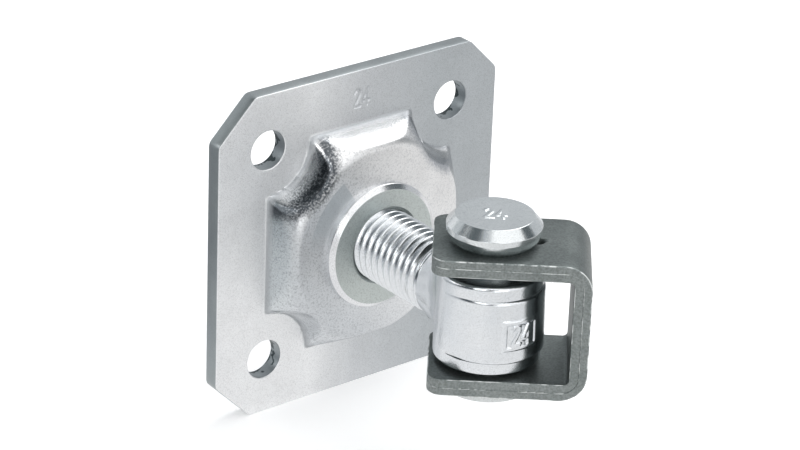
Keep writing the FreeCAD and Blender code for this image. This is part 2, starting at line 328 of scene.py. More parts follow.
def steel_piece(name, points, triangles, sharp_angle=35.0):
    """A mesh object in metres from points in millimetres, smooth but for its sharp edges."""
    mesh = bpy.data.meshes.new(name)
    mesh.vertices.add(len(points))
    mesh.vertices.foreach_set("co", (points * 0.001).astype(np.float32).ravel())
    mesh.loops.add(triangles.size)
    mesh.loops.foreach_set("vertex_index", triangles.astype(np.int32).ravel())
    mesh.polygons.add(len(triangles))
    mesh.polygons.foreach_set("loop_start", np.arange(0, triangles.size, 3, dtype=np.int32))
    mesh.update(calc_edges=True)
    mesh.validate()
    mesh.polygons.foreach_set("use_smooth", np.ones(len(mesh.polygons), bool))
    mesh.set_sharp_from_angle(angle=np.radians(sharp_angle))
    return linked(name, mesh)


def facets(piece):
    """Middles in millimetres and normals of a piece's faces."""
    values = []
    for what, scale in (("center", 1000), ("normal", 1)):
        flat = np.empty(len(piece.data.polygons) * 3, np.float32)
        piece.data.polygons.foreach_get(what, flat)
        values.append(flat.reshape(-1, 3) * scale)
    return values


def add_material(piece, material, chosen):
    """Gives the chosen faces of a piece another material."""
    used = np.empty(len(chosen), np.int32)
    piece.data.polygons.foreach_get("material_index", used)
    used[chosen] = len(piece.data.materials)
    piece.data.materials.append(material)
    piece.data.polygons.foreach_set("material_index", used)


def node(tree, kind, inputs=None, **settings):
    """One shader node with its settings, and its sockets set to numbers or linked to outputs."""
    made = tree.nodes.new("ShaderNode" + kind)
    for key, value in settings.items():
        setattr(made, key, value)
    for key, value in (inputs or {}).items():
        if isinstance(value, bpy.types.NodeSocket):
            tree.links.new(value, made.inputs[key])
        else:
            made.inputs[key].default_value = value
    return made


def ramp(tree, factor, stops):
    """A colour ramp through (place, grey or colour) stops."""
    made = node(tree, "ValToRGB", {"Fac": factor})
    made.color_ramp.elements.remove(made.color_ramp.elements[1])
    for index, (place, colour) in enumerate(stops):
        element = made.color_ramp.elements[0] if index == 0 else made.color_ramp.elements.new(place)
        element.position = place
        rgb = colour if isinstance(colour, tuple) else (colour, colour, colour)
        element.color = (*rgb, 1)
    return made.outputs["Color"]


def between(tree, value, start, end, low=0.0, high=1.0, **settings):
    """A value carried from start and end over to low and high, and held at both."""
    made = node(tree, "MapRange", {"Value": value, "From Min": start, "From Max": end,
                                   "To Min": low, "To Max": high}, **settings)
    return made.outputs["Result"]


def mix(tree, factor, first, second, blend="MIX"):
    """The first colour where the factor is 0 and the second where it is 1, or their product."""
    first, second = ((*tone, 1) if isinstance(tone, tuple) else tone for tone in (first, second))
    return node(tree, "Mix", {"Factor": factor, "A": first, "B": second}, data_type="RGBA",
                blend_type=blend).outputs["Result"]


def sum_of(tree, operation, *values, kind="Math", **settings):
    """One step of arithmetic on numbers, or on vectors where the kind is VectorMath."""
    made = node(tree, kind, dict(enumerate(values)), operation=operation, **settings)
    return made.outputs["Value"]


def noise(tree, place, scale, detail, roughness=0.5):
    """Cloudy noise in the piece's own space, so many clouds to the metre."""
    return node(tree, "TexNoise", {"Vector": place, "Scale": scale, "Detail": detail,
                                   "Roughness": roughness}).outputs["Fac"]


def new_material(name):
    """An empty material, its node tree and the place on the piece."""
    material = bpy.data.materials.new(name)
    material.use_nodes = True
    tree = material.node_tree
    tree.nodes.clear()
    return material, tree, node(tree, "TexCoord").outputs["Object"]


def steel_shader(tree, colour, gloss, metallic, grain, strength, depth):
    """Metal of the given tone and gloss, whose grain stands in the surface."""
    bump = node(tree, "Bump", {"Strength": strength, "Distance": depth, "Height": grain})
    shader = node(tree, "BsdfPrincipled", {"Base Color": colour, "Metallic": metallic,
                                           "Roughness": gloss, "Normal": bump.outputs["Normal"]})
    node(tree, "OutputMaterial", {"Surface": shader.outputs["BSDF"]})


def zinc(name, light, dark, rough, grain_size, grain_depth):
    """Zinc plated steel: cloudy tone and gloss, a fine grain in the surface and small specks."""
    material, tree, place = new_material(name)
    clouds = noise(tree, place, 1 / 0.012, 5.0, 0.6)
    grain = noise(tree, place, 1 / grain_size, 4.0, 0.65)
    specks = noise(tree, place, 3.1 / grain_size, 2.0)
    colour = mix(tree, 1.0, ramp(tree, clouds, [(0.3, dark), (0.7, light)]),
                 ramp(tree, specks, [(0.35, 0.75), (0.5, 1.0)]), "MULTIPLY")
    gloss = between(tree, clouds, 0.3, 0.7, rough * 0.85, rough * 1.2)
    steel_shader(tree, colour, gloss, 1.0, grain, 0.6, grain_depth)
    return material


def finish_of(material):
    """What a further finish builds on: the node tree, the place, the shader and its tone."""
    tree = material.node_tree
    shader = next(made for made in tree.nodes if made.type == "BSDF_PRINCIPLED")
    place = next(made for made in tree.nodes if made.type == "TEX_COORD").outputs["Object"]
    return tree, place, shader, shader.inputs["Base Color"].links[0].from_socket


def pressed_zinc(name):
    """Satin zinc on the flat sheet, with painted shade that darkens it to the right, and
    burnished where the tool drew it.

    Over the dome the tone is darker towards the lower left, and painted shade lies along its foot.
    Its left flank has painted shade, darkest at the top, and its two upper scoops have painted
    dark reflections, mottled and darkest on the left. A darker wedge on the seat beside the
    collar is a painted reflection.
    """
    material = zinc(name, (1.0, 1.0, 1.0), (0.93, 0.93, 0.93), 0.4, 0.0006, 0.00004)
    tree, place, shader, cloudy = finish_of(material)
    parts = node(tree, "SeparateXYZ", {"Vector": place}).outputs
    x, y, z = parts["X"], parts["Y"], parts["Z"]
    # Painted shade: the flat sheet's tone falls from left to right.
    flat = ramp(tree, between(tree, x, -0.045, 0.03), [
        (0.0, (0.96, 0.97, 0.98)), (0.35, (0.95, 0.96, 0.97)), (0.6, (0.68, 0.70, 0.72)),
        (1.0, (0.53, 0.56, 0.58))])
    # Painted shade along the crease at the dome's foot.
    flat = mix(tree, between(tree, y, -0.0055, -0.0058), flat, (0.5, 0.52, 0.54))
    upwards = sum_of(tree, "DOT_PRODUCT", place, (14.0, 0.0, 14.0), kind="VectorMath")
    drawn = ramp(tree, sum_of(tree, "ADD", upwards, 0.5), [
        (0.0, (0.68, 0.705, 0.73)), (0.5, (0.95, 0.96, 0.97)), (1.0, 0.88)])
    # Painted shade on the dome's left flank, darkest at its top.
    painted_flank_shade = ramp(tree, between(tree, z, -0.02, 0.022), [
        (0.0, (0.70, 0.735, 0.755)), (0.55, (0.56, 0.60, 0.62)), (0.75, (0.42, 0.46, 0.48)),
        (0.9, (0.08, 0.095, 0.1))])
    drawn = mix(tree, between(tree, x, -0.0305, -0.0345), drawn, painted_flank_shade)
    folded = node(tree, "CombineXYZ", {"X": sum_of(tree, "ABSOLUTE", x), "Z": z})
    from_hole = sum_of(tree, "DISTANCE", folded.outputs["Vector"],
                       (BOLT_OFFSET / 1000, 0.0, BOLT_OFFSET / 1000), kind="VectorMath")
    # Painted dark reflections in the two upper scoops, mottled, darkest on the left.
    scoop_reflection_mask = ramp(tree, between(tree, from_hole, 0.016, 0.026), [
        (0.0, 0.0), (0.14, 0.1), (0.26, 1.0), (0.42, 1.0), (0.72, 0.0)])
    spots = between(tree, noise(tree, place, 1500.0, 3.0), 0.35, 0.65, -0.3, 0.3)
    painted_scoop_reflection = ramp(tree, between(tree, x, -0.02, 0.02), [
        (0.0, (0.08, 0.09, 0.10)), (1.0, (0.56, 0.575, 0.6))])
    drawn = mix(tree, sum_of(tree, "ADD", scoop_reflection_mask, spots, use_clamp=True), drawn, painted_scoop_reflection)
    raised = between(tree, y, -0.006, -0.008)
    tone = mix(tree, raised, flat, drawn)
    angle = sum_of(tree, "ARCTAN2", z, x)
    square = sum_of(tree, "ADD", *(sum_of(tree, "MULTIPLY", side, side) for side in (x, z)))
    # Painted reflection: a darker wedge on the seat beside the collar.
    painted_reflection_sector = between(tree, angle, 2.11, 2.13)
    for limit in (between(tree, angle, 3.05, 2.75),
                  between(tree, square, 0.0277 ** 2, 0.0274 ** 2),
                  between(tree, y, -0.0135, -0.0145)):
        painted_reflection_sector = sum_of(tree, "MULTIPLY", painted_reflection_sector, limit)
    tone = mix(tree, painted_reflection_sector, tone, (0.67, 0.70, 0.72))
    gloss = sum_of(tree, "ADD", between(tree, raised, 0.0, 1.0, 0.5, 0.2),
                   between(tree, y, -0.0135, -0.0155, 0.0, 0.2))
    tree.links.new(mix(tree, 1.0, tone, cloudy, "MULTIPLY"), shader.inputs["Base Color"])
    tree.links.new(gloss, shader.inputs["Roughness"])
    return material


def punched_zinc(name):
    """The wall of a punched hole: bright where the punch rubbed it, torn and dark near the back."""
    material = zinc(name, (0.37, 0.405, 0.42), (0.29, 0.315, 0.33), 0.34, 0.0006, 0.00004)
    tree, place, shader, cloudy = finish_of(material)
    depth = node(tree, "SeparateXYZ", {"Vector": place}).outputs["Y"]
    edge = between(tree, noise(tree, place, 420.0, 2.0), 0.3, 0.7, -0.0036, 0.0006)
    torn = sum_of(tree, "GREATER_THAN", depth, edge)
    tree.links.new(mix(tree, torn, cloudy, (0.07, 0.085, 0.09)), shader.inputs["Base Color"])
    return material


plate = steel_piece("plate_pressing", *plate_surface())
plate.data.materials.append(pressed_zinc("plate_bright_zinc"))
plate_middles, plate_normals = facets(plate)
on_wall = np.abs(plate_normals[:, 1]) < 0.25
on_hole = on_wall & (rim_distance(plate_middles[:, 0], plate_middles[:, 2])[1] < 0.2)
add_material(plate, zinc("plate_sheared_edge", (0.45, 0.485, 0.49), (0.36, 0.39, 0.40),
                         0.34, 0.0006, 0.00004), on_wall & ~on_hole)
add_material(plate, punched_zinc("plate_punched_hole"), on_hole)
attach(plate, "wall_side")
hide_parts("mounting_plate")


# The collar nut: turned from bar, pushed through the dome and rolled over behind it. Its collar
# has a bevelled rim with a polished edge and a face that the turning tool has left in fine rings.
PLATEAU = PLATE_THICKNESS + DOME_HEIGHT
SEAT_PLANE = PLATEAU + 0.2
COLLAR_RADIUS = 21.0
COLLAR_FACE_RADIUS = 19.4
COLLAR_THICKNESS = 3.8
COLLAR_BEVEL = 1.3
LIP_RADIUS = 19.5
LIP_THICKNESS = 3.0
NUT_TAIL = 8.5
NUT_SHIFT = 0.5
SHIFT_START, SHIFT_END = 14.0, 18.5
THREAD_RADIUS = 12.0
BORE_RADIUS = 12.05
MOUTH_BEVEL = 1.0


def rounded_profile(corners, rounds, steps=5):
    """A closed outline of (radius, height) corners, each rounded by an arc of its own radius.

    A point is added a little before and after each arc, so that the flats stay flat.
    """
    corners = np.array(corners, float)
    outline = []
    for index, rounding in enumerate(rounds):
        corner = corners[index]
        into = corners[index - 1] - corner
        out = corners[(index + 1) % len(corners)] - corner
        into_length, out_length = np.linalg.norm(into), np.linalg.norm(out)
        into, out = into / into_length, out / out_length
        half = np.arccos(np.clip(into @ out, -1, 1)) / 2
        setback = min(rounding / np.tan(half), 0.45 * into_length, 0.45 * out_length)
        rounding = setback * np.tan(half)
        middle = (into + out) / np.linalg.norm(into + out)
        centre = corner + middle * rounding / np.sin(half)
        start, end = corner + into * setback, corner + out * setback
        support = 0.12 * rounding
        turn = np.linspace(0, 1, steps + 1)[:, None]
        angle = np.pi - 2 * half
        arc = centre + (np.sin((1 - turn) * angle) * (start - centre)
                        + np.sin(turn * angle) * (end - centre)) / np.sin(angle)
        outline.append(np.concatenate([[start + into * support], arc, [end + out * support]]))
    return np.concatenate(outline)


def full_turn(columns):
    """Angles all the way round, the last of them the first again."""
    return np.append(np.linspace(0, 2 * np.pi, columns + 1)[:-1], 0.0)


def turned(profile, origin, along, columns=192):
    """The closed outline carried round the axis through origin: row by outline, column by angle."""
    closed = np.concatenate([profile, profile[:1]])
    angle = full_turn(columns)[:, None]
    along, side = np.array(along, float), np.array([1.0, 0, 0])
    spoke = np.cos(angle) * side + np.sin(angle) * np.cross(along, side)
    radius, height = closed[:, 0, None, None], closed[:, 1, None, None]
    return grid_mesh(origin + radius * spoke + height * along)


def facing_outwards(piece):
    """Turns the faces of a closed mesh outwards if its signed volume is negative."""
    mesh = piece.data
    points = np.empty(len(mesh.vertices) * 3, np.float32)
    mesh.vertices.foreach_get("co", points)
    points = points.reshape(-1, 3).astype(float)
    corners = np.empty(len(mesh.loops), np.int32)
    mesh.loops.foreach_get("vertex_index", corners)
    a, b, c = points[corners.reshape(-1, 3)].transpose(1, 0, 2)
    if np.einsum("ij,ij->", a, np.cross(b, c)) < 0:
        mesh.flip_normals()
    return piece


def turned_zinc(name, light, dark, rough):
    """Plated steel with fine rings about the bolt's axis, as a turning tool leaves them."""
    material = zinc(name, light, dark, rough, 0.0009, 0.00002)
    tree, place, shader, _ = finish_of(material)
    parts = node(tree, "SeparateXYZ", {"Vector": place}).outputs
    flat = node(tree, "CombineXYZ", {"X": parts["X"], "Z": parts["Z"]}).outputs["Vector"]
    radius = sum_of(tree, "LENGTH", flat, kind="VectorMath")
    rings = node(tree, "TexNoise", {"W": radius, "Scale": 1 / 0.0006, "Detail": 3.0},
                 noise_dimensions="1D").outputs["Fac"]
    bump = node(tree, "Bump", {"Strength": 0.5, "Distance": 0.00004, "Height": rings,
                               "Normal": shader.inputs["Normal"].links[0].from_socket})
    tree.links.new(bump.outputs["Normal"], shader.inputs["Normal"])
    return material


collar_face_height = SEAT_PLANE + COLLAR_THICKNESS
nut_back = DOME_HEIGHT - NUT_TAIL
nut_corners = [
    (BORE_RADIUS, nut_back + MOUTH_BEVEL), (BORE_RADIUS + MOUTH_BEVEL, nut_back),
    (SPIGOT_RADIUS, nut_back), (SPIGOT_RADIUS, DOME_HEIGHT - LIP_THICKNESS),
    (LIP_RADIUS, DOME_HEIGHT - LIP_THICKNESS), (LIP_RADIUS, DOME_HEIGHT),
    (SPIGOT_RADIUS, DOME_HEIGHT), (SPIGOT_RADIUS, SEAT_PLANE), (COLLAR_RADIUS, SEAT_PLANE),
    (COLLAR_RADIUS, collar_face_height - COLLAR_BEVEL), (COLLAR_FACE_RADIUS, collar_face_height),
    (BORE_RADIUS + MOUTH_BEVEL, collar_face_height),
    (BORE_RADIUS, collar_face_height - MOUTH_BEVEL)]
nut_rounds = [0.1, 0.1, 0.5, 0.2, 1.2, 0.2, 0.1, 0.1, 0.3, 0.5, 0.45, 0.15, 0.1]
nut_points, nut_triangles = turned(rounded_profile(nut_corners, nut_rounds), (0, 0, 0), (0, -1, 0))
nut_reach = ease(np.hypot(nut_points[:, 0], nut_points[:, 2]), SHIFT_START, SHIFT_END)
on_collar = -nut_points[:, 1] > (DOME_HEIGHT + SEAT_PLANE) / 2
nut_points[on_collar, ::2] -= NUT_SHIFT * nut_reach[on_collar, None]
nut = facing_outwards(steel_piece("collar_nut_turned", nut_points, nut_triangles))
nut.data.materials.append(turned_zinc("nut_turned_zinc", (0.64, 0.685, 0.67),
                                      (0.58, 0.625, 0.61), 0.45))
nut_middles = facets(nut)[0]
nut_radius = np.hypot(nut_middles[:, 0] + NUT_SHIFT, nut_middles[:, 2] + NUT_SHIFT)
add_material(nut, zinc("nut_bright_rim", (0.84, 0.85, 0.86), (0.76, 0.77, 0.79),
                       0.16, 0.0006, 0.00003), nut_radius > COLLAR_FACE_RADIUS)
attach(nut, "wall_side")
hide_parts("collar_nut")


# The eye bolt, one forging: a rolled M24 x 3 thread, a neck that spreads and flattens into the
# eye, and a raised band round the eye that stands off centre, proud on the side away from the
# plate. A framed pad with a plain size number stands on the band.
PITCH = 3.0
THREAD_DEPTH = 1.6
RUNOUT = 1.6 * PITCH
TAIL_Y = -1.0
TAIL_BEVEL = 2.0
PIN_Y = -71.7
NECK_REACH = 21.5
NECK_HALF_HEIGHT = 15.3
NECK_END = 3.0
NECK_SWELL = 1.6
NECK_SWELL_REACH = 17.0
EYE_RADIUS = 16.6
EYE_OFFSET = 0.8
EYE_TOP = 13.55
EYE_BOTTOM = -15.95
EYE_TOP_ROUND = 1.6
EYE_BOTTOM_ROUND = 0.5
EYE_BORE = 9.05
BAND_LOW_RADIUS = 16.5
BAND_HIGH_RADIUS = 15.9
BAND_OFFSET = 0.9
BAND_LOW = EYE_BOTTOM + 4.0
BAND_HIGH = EYE_TOP - 4.8
BAND_ROUND = 1.0
BAND_BLEND = 1.1
BAND_LEDGE_SLOPE = 6.0
PAD_HALF_WIDTH = 6.2
PAD_HALF_HEIGHT = 5.0
PAD_CENTRE = -2.4
PAD_RISE = 0.45
PAD_FIELD_DEPTH = 0.4
PAD_NUMBER_SIZE = 6.4
PAD_TURN = np.radians(6.0)


def thread_radius(turns, depth):
    """Radius of the thread at a share of its turn: narrow crest, rounded root, straight flanks."""
    share = np.abs((turns % 1.0) - 0.5) * 2
    flank = np.clip((share - 0.12) / 0.74, 0, 1)
    eased = flank + 0.10 * np.sin(2 * np.pi * flank) * (flank - 1) * flank
    return THREAD_RADIUS - depth * eased


def shank_surface():
    """Tail point, thread and neck as one tube about the bolt's axis: a row for each station.

    Along the thread the rows lean by one pitch a turn, so that crests stay whole. The radius
    repeats with the length in pitches less the share of the turn, and fades out by a square root.
    The neck's section is a superellipse whose halves and power grow towards the eye.
    """
    columns, rows_per_pitch = 96, 14
    angle = np.linspace(0, 2 * np.pi, columns + 1)
    lean = PITCH * angle / (2 * np.pi)
    thread_end = TAIL_Y - PIN_Y - NECK_REACH
    starts = np.arange(-rows_per_pitch, int(thread_end / PITCH * rows_per_pitch) + 2)
    along = np.clip(starts[:, None] * PITCH / rows_per_pitch + lean[None], 0, thread_end)
    turns = along / PITCH - angle[None] / (2 * np.pi)
    runout = np.clip((thread_end - along) / RUNOUT, 0, 1)
    point = np.clip(THREAD_RADIUS - TAIL_BEVEL + along, 0, THREAD_RADIUS)
    radius = np.minimum(thread_radius(turns, THREAD_DEPTH * np.sqrt(runout)), point)
    thread = np.stack([radius * np.cos(angle), TAIL_Y - along, radius * np.sin(angle)], -1)
    reach = np.linspace(NECK_REACH, NECK_END, 40)[1:, None]
    spread = (NECK_REACH - reach) / NECK_REACH
    rising = np.clip(spread * 1.35, 0, 1) ** 1.3
    half_height = THREAD_RADIUS + (NECK_HALF_HEIGHT - THREAD_RADIUS) * rising
    swell = np.clip((NECK_SWELL_REACH - reach) / 7.0, 0, 1)
    half_width = THREAD_RADIUS + 0.3 * np.clip(spread * 2, 0, 1) + NECK_SWELL * swell ** 2
    power = 2 + 1.2 * np.clip(spread * 1.5, 0, 1)
    c, s = np.cos(angle)[None], np.sin(angle)[None]
    shape = (np.abs(c / half_width) ** power + np.abs(s / half_height) ** power) ** (-1 / power)
    height = np.clip(shape * s, EYE_BOTTOM + 0.8, EYE_TOP - 0.8)
    neck = np.stack([shape * c, PIN_Y + reach + 0 * c, height], -1)
    ends = np.zeros((2, columns + 1, 3))
    ends[0, :, 1], ends[1, :, 1] = TAIL_Y, PIN_Y + NECK_END
    return np.concatenate([ends[:1], thread, neck, ends[1:]])


def off_centre(radius, offset, angle):
    """Distance from the pin's axis to a circle whose middle lies offset towards the plate.

    The middle's share along the ray, and the rest of the way from the right triangle over it.
    """
    return offset * np.sin(angle) + np.sqrt(radius ** 2 - (offset * np.cos(angle)) ** 2)


def eye_radius(angle, height):
    """Outer radius of the eye about the pin: rounded end rings, the off-centre band, the pad.

    The greater of ring and band is taken, softly. The pad is a frame whose field is sunk except
    along the strokes of its number.
    """
    ring = (off_centre(EYE_RADIUS, EYE_OFFSET, angle) - edge_drop(EYE_TOP - height, EYE_TOP_ROUND)
            - edge_drop(height - EYE_BOTTOM, EYE_BOTTOM_ROUND))
    share = (height - BAND_LOW) / (BAND_HIGH - BAND_LOW)
    band_radius = BAND_LOW_RADIUS + (BAND_HIGH_RADIUS - BAND_LOW_RADIUS) * np.clip(share, 0, 1)
    inside = np.minimum(height - BAND_LOW, BAND_HIGH - height)
    band = off_centre(band_radius, -BAND_OFFSET, angle)
    band = band - edge_drop(inside, BAND_ROUND) - BAND_LEDGE_SLOPE * np.clip(-inside, 0, None)
    across = (angle + np.pi / 2 + PAD_TURN + np.pi) % (2 * np.pi) - np.pi
    across = across * BAND_LOW_RADIUS
    up = height - PAD_CENTRE
    frame_edge = np.maximum(np.abs(across) - PAD_HALF_WIDTH, np.abs(up) - PAD_HALF_HEIGHT)
    stroke = nearest_on(across, up, number_strokes(PAD_NUMBER_SIZE))[0]
    sunk = PAD_FIELD_DEPTH * ease(-frame_edge, 1.2, 1.6) * ease(stroke, 0.3, 0.75)
    rise = PAD_RISE * (1 - ease(frame_edge, -0.5, 0.15)) - sunk
    return smooth_max(ring, band, BAND_BLEND) + np.where(inside > 0, rise, 0)


def eye_mesh():
    """The eye as a closed ring: outside by angle and height, then over the rims into the bore."""
    angle = full_turn(400)
    quarter = 1 - np.sin(np.linspace(0, np.pi / 2, 9))
    near_ledge = np.array([-0.6, -0.45, -0.3, -0.2, -0.1, 0, 0.05, 0.15, 0.3, 0.5, 0.8])
    steps = np.unique(np.round(np.concatenate([
        spaced(EYE_BOTTOM + EYE_BOTTOM_ROUND, EYE_TOP - EYE_TOP_ROUND, 0.36),
        EYE_TOP - EYE_TOP_ROUND * quarter, EYE_BOTTOM + EYE_BOTTOM_ROUND * quarter,
        BAND_LOW + near_ledge, BAND_HIGH - near_ledge]), 4))
    outer = eye_radius(angle[None], steps[:, None])
    rim = EYE_BORE + np.array([3.0, 0.5, 0.0])
    inner = np.concatenate([rim, rim[::-1]])[:, None] + 0 * angle
    height = np.concatenate([steps, [EYE_TOP, EYE_TOP, EYE_TOP - 0.5, EYE_BOTTOM + 0.5, EYE_BOTTOM,
                                     EYE_BOTTOM], steps[:1]])
    radius = np.concatenate([outer, inner, outer[:1]])
    return grid_mesh(np.stack([radius * np.cos(angle), PIN_Y + radius * np.sin(angle),
                               height[:, None] + 0 * radius], -1))


def drill(radius, reach):
    """A plain cylinder about the pin's axis, to cut a hole with."""
    profile = [(0, -reach), (radius, -reach), (radius, reach), (0, reach)]
    mesh = turned(np.array(profile), (0, PIN_Y, 0), (0, 0, 1), 96)
    return facing_outwards(steel_piece("drill", *mesh))


def with_boolean(piece, cutter, operation):
    """Joins or cuts one closed mesh by another, and keeps the outcome as the piece's own mesh."""
    modifier = piece.modifiers.new(operation.lower(), "BOOLEAN")
    modifier.operation = operation
    modifier.solver = "EXACT"
    modifier.object = cutter
    bpy.context.view_layer.update()
    graph = bpy.context.evaluated_depsgraph_get()
    worked = bpy.data.meshes.new_from_object(piece.evaluated_get(graph))
    piece.modifiers.clear()
    piece.data = worked
    bpy.data.objects.remove(cutter)
    return piece


bolt = steel_piece("bolt_forging", *grid_mesh(shank_surface()), sharp_angle=42)
bolt = with_boolean(facing_outwards(bolt), drill(EYE_BORE, 20.0), "DIFFERENCE")
eye = facing_outwards(steel_piece("eye_form", *eye_mesh()))
bolt = with_boolean(bolt, eye, "UNION")
bolt.data.materials.clear()
bolt.data.materials.append(zinc("bolt_bright_zinc", (0.84, 0.86, 0.88), (0.76, 0.79, 0.82),
                                0.2, 0.0006, 0.000035))
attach(bolt, "bolt")
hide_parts("eye_bolt")


# The hinge pin: forged, with a broad bevelled head that carries a plain raised size number, and a
# key under the head that sits in the bracket's notch so that pin and bracket turn together; the
# notch is cut, but the key is not drawn.
SWING = np.radians(-40.5)
LEG_OUTER_TOP = 22.3
LEG_INNER_TOP = 16.8
LEG_INNER_BOTTOM = -17.5
LEG_OUTER_BOTTOM = -23.0
PIN_RADIUS = 9.0
HEAD_RADIUS = 14.75
HEAD_TOP_RADIUS = 12.1
HEAD_SEAT_RADIUS = 12.5
HEAD_HEIGHT = 8.6
HEAD_NUMBER_SIZE = 6.5
HEAD_NUMBER_RISE = 0.25
RETAINER_BOTTOM = -26.0
TENON_RADIUS = 6.5


def pin_outline():
    """Radius and height from the foot's middle up to the top's, where the steps are fine."""
    head = LEG_OUTER_TOP
    corners = [(TENON_RADIUS, RETAINER_BOTTOM), (TENON_RADIUS, LEG_OUTER_BOTTOM),
               (PIN_RADIUS, LEG_OUTER_BOTTOM), (PIN_RADIUS, head), (HEAD_SEAT_RADIUS, head),
               (HEAD_RADIUS - 1.1, head + 1.2), (HEAD_RADIUS - 0.4, head + 2.3),
               (HEAD_RADIUS, head + 3.9), (HEAD_RADIUS, head + 5.6),
               (HEAD_TOP_RADIUS, head + HEAD_HEIGHT)]
    rounds = [0.2, 0.1, 0.1, 0.1, 0.3, 0.4, 0.3, 0.9, 0.25, 0.3]
    middles = [(0, head + HEAD_HEIGHT), (0, RETAINER_BOTTOM)]
    closed = rounded_profile(corners + middles, rounds + [0.0001, 0.0001])
    side = closed[closed[:, 0] > 1.0]
    inner = np.linspace(side[-1, 0], 0, 52)[1:]
    top = np.stack([inner, 0 * inner + head + HEAD_HEIGHT], 1)
    return np.concatenate([middles[1:], side, top])


def pin_mesh():
    """The outline carried round the pin's axis, its top lifted along the number's strokes."""
    profile, angle = pin_outline(), full_turn(240)
    radius, height = profile[:, :1] + 0 * angle, profile[:, 1:] + 0 * angle
    x, y = radius * np.cos(angle), radius * np.sin(angle)
    across = x * np.cos(SWING) + y * np.sin(SWING)
    up = -x * np.sin(SWING) + y * np.cos(SWING)
    strokes = 1 - ease(nearest_on(across, up, number_strokes(HEAD_NUMBER_SIZE))[0], 0.3, 0.85)
    raised = HEAD_NUMBER_RISE * strokes * (height > LEG_OUTER_TOP + HEAD_HEIGHT - 0.01)
    return grid_mesh(np.stack([x, PIN_Y + y, height + raised], -1))


pin = facing_outwards(steel_piece("pin_with_head", *pin_mesh()))
pin.data.materials.append(zinc("pin_bright_zinc", (0.80, 0.83, 0.84), (0.72, 0.75, 0.76),
                               0.17, 0.0006, 0.000035))
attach(pin, "leaf")
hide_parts("hinge_pin")


# The weld-on bracket: flat bar, sheared to length and bent into a U, left as bare mill steel so
# that it can be welded. Its edges keep the shear's bright burr and its break line.
BAR_HALF = 17.0
BAR_THICKNESS = 5.5
LEG_TAIL = 18.4
WEB_REACH = 30.2
BEND_OUTER = 8.6
BEND_INNER = 1.5
LEG_CORNER = 5.0
NOTCH_HALF = 2.2
NOTCH_REACH = 15.6
HOLE_CLEARANCE = 0.05
END_ROUND = 0.35
EDGE_ROUND = 0.3
BURR_WIDTH = 0.3
BREAK_LINE = 2.55


def swung(x, y, z):
    """Places in the bracket's own directions, turned about the pin to where it is swung."""
    c, s = np.cos(SWING), np.sin(SWING)
    return np.stack([x * c - y * s, PIN_Y + x * s + y * c, z], -1)


def bar_half_width(from_end):
    """Half the bar's width near its end: a quarter circle rounds the leg's corner."""
    return BAR_HALF - LEG_CORNER + np.sqrt(LEG_CORNER ** 2 - (LEG_CORNER - from_end) ** 2)


def u_path(reach, top, bottom, bend, stations):
    """Points along a U from the top leg's end, round both bends, to the bottom leg's end."""
    leg_run, web_run, turn = stations
    leg = (reach - bend + LEG_TAIL) * leg_run - LEG_TAIL
    quarter = turn * np.pi / 2
    web = (top - bend) + (bottom - top + 2 * bend) * web_run
    x = np.concatenate([leg, reach - bend + bend * np.sin(quarter), reach + 0 * web,
                        reach - bend + bend * np.cos(quarter), leg[::-1]])
    z = np.concatenate([top + 0 * leg, top - bend + bend * np.cos(quarter), web,
                        bottom + bend - bend * np.sin(quarter), bottom + 0 * leg])
    return np.stack([x, z], -1)


def bracket_mesh():
    """The bar's section carried along the U: outer and inner outlines joined station by station.

    The section goes over the outer face, down one sheared edge, back over the inner face and up
    the other edge. Its edges draw in at the corners and at the break line.
    """
    near_end = np.array([0, 0.12, 0.3, 0.6, 1.0, 1.5, 2.1, 2.8, 3.6, 4.3, 5.0, 5.4]) / 40.0
    stations = (np.concatenate([near_end, np.linspace(0.2, 1, 14)]),
                np.linspace(0, 1, 16)[1:-1], np.linspace(0, 1, 15)[1:])
    outer = u_path(WEB_REACH, LEG_OUTER_TOP, LEG_OUTER_BOTTOM, BEND_OUTER, stations)
    inner = u_path(WEB_REACH - BAR_THICKNESS, LEG_INNER_TOP, LEG_INNER_BOTTOM, BEND_INNER,
                   stations)
    from_end = np.minimum(outer[:, 0] + LEG_TAIL, LEG_CORNER)
    inset = edge_drop(from_end, END_ROUND)
    turn = np.linspace(0, np.pi / 2, 5)
    corner, corner_along = EDGE_ROUND * (1 - np.cos(turn)), EDGE_ROUND * (1 - np.sin(turn))
    edge_in = np.concatenate([corner_along, [0.0, 0.0, -0.1, 0.14, 0.18], corner_along[::-1] + 0.2])
    edge_down = np.concatenate([corner, [0.6, 2.45, 2.6, 2.75, 4.6], BAR_THICKNESS - corner[::-1]])
    face = np.linspace(-1, 1, 13)[1:-1]
    section = [(face, 0 * face + 0.5, 0 * face),
               (0 * edge_in + 1, edge_in, edge_down),
               (-face, 0 * face + 0.5, 0 * face + BAR_THICKNESS),
               (0 * edge_in - 1, edge_in[::-1], edge_down[::-1])]
    side, inward, down = (np.concatenate([*parts, parts[0][:1]]) for parts in zip(*section))
    squeeze = 1 - 2 * inset[:, None] / BAR_THICKNESS
    share = (0.5 + (down[None] / BAR_THICKNESS - 0.5) * squeeze)[..., None]
    half = bar_half_width(from_end)
    width = side[None] * (half[:, None] - inset[:, None] - inward[None])
    place = outer[:, None] * (1 - share) + inner[:, None] * share
    local = np.stack([place[..., 0], width, place[..., 1]], -1)
    caps = local[[0, -1]].mean(1, keepdims=True) + 0 * local[[0, -1]]
    sheet = np.concatenate([caps[:1], local, caps[1:]])
    return grid_mesh(swung(sheet[..., 0], sheet[..., 1], sheet[..., 2]))


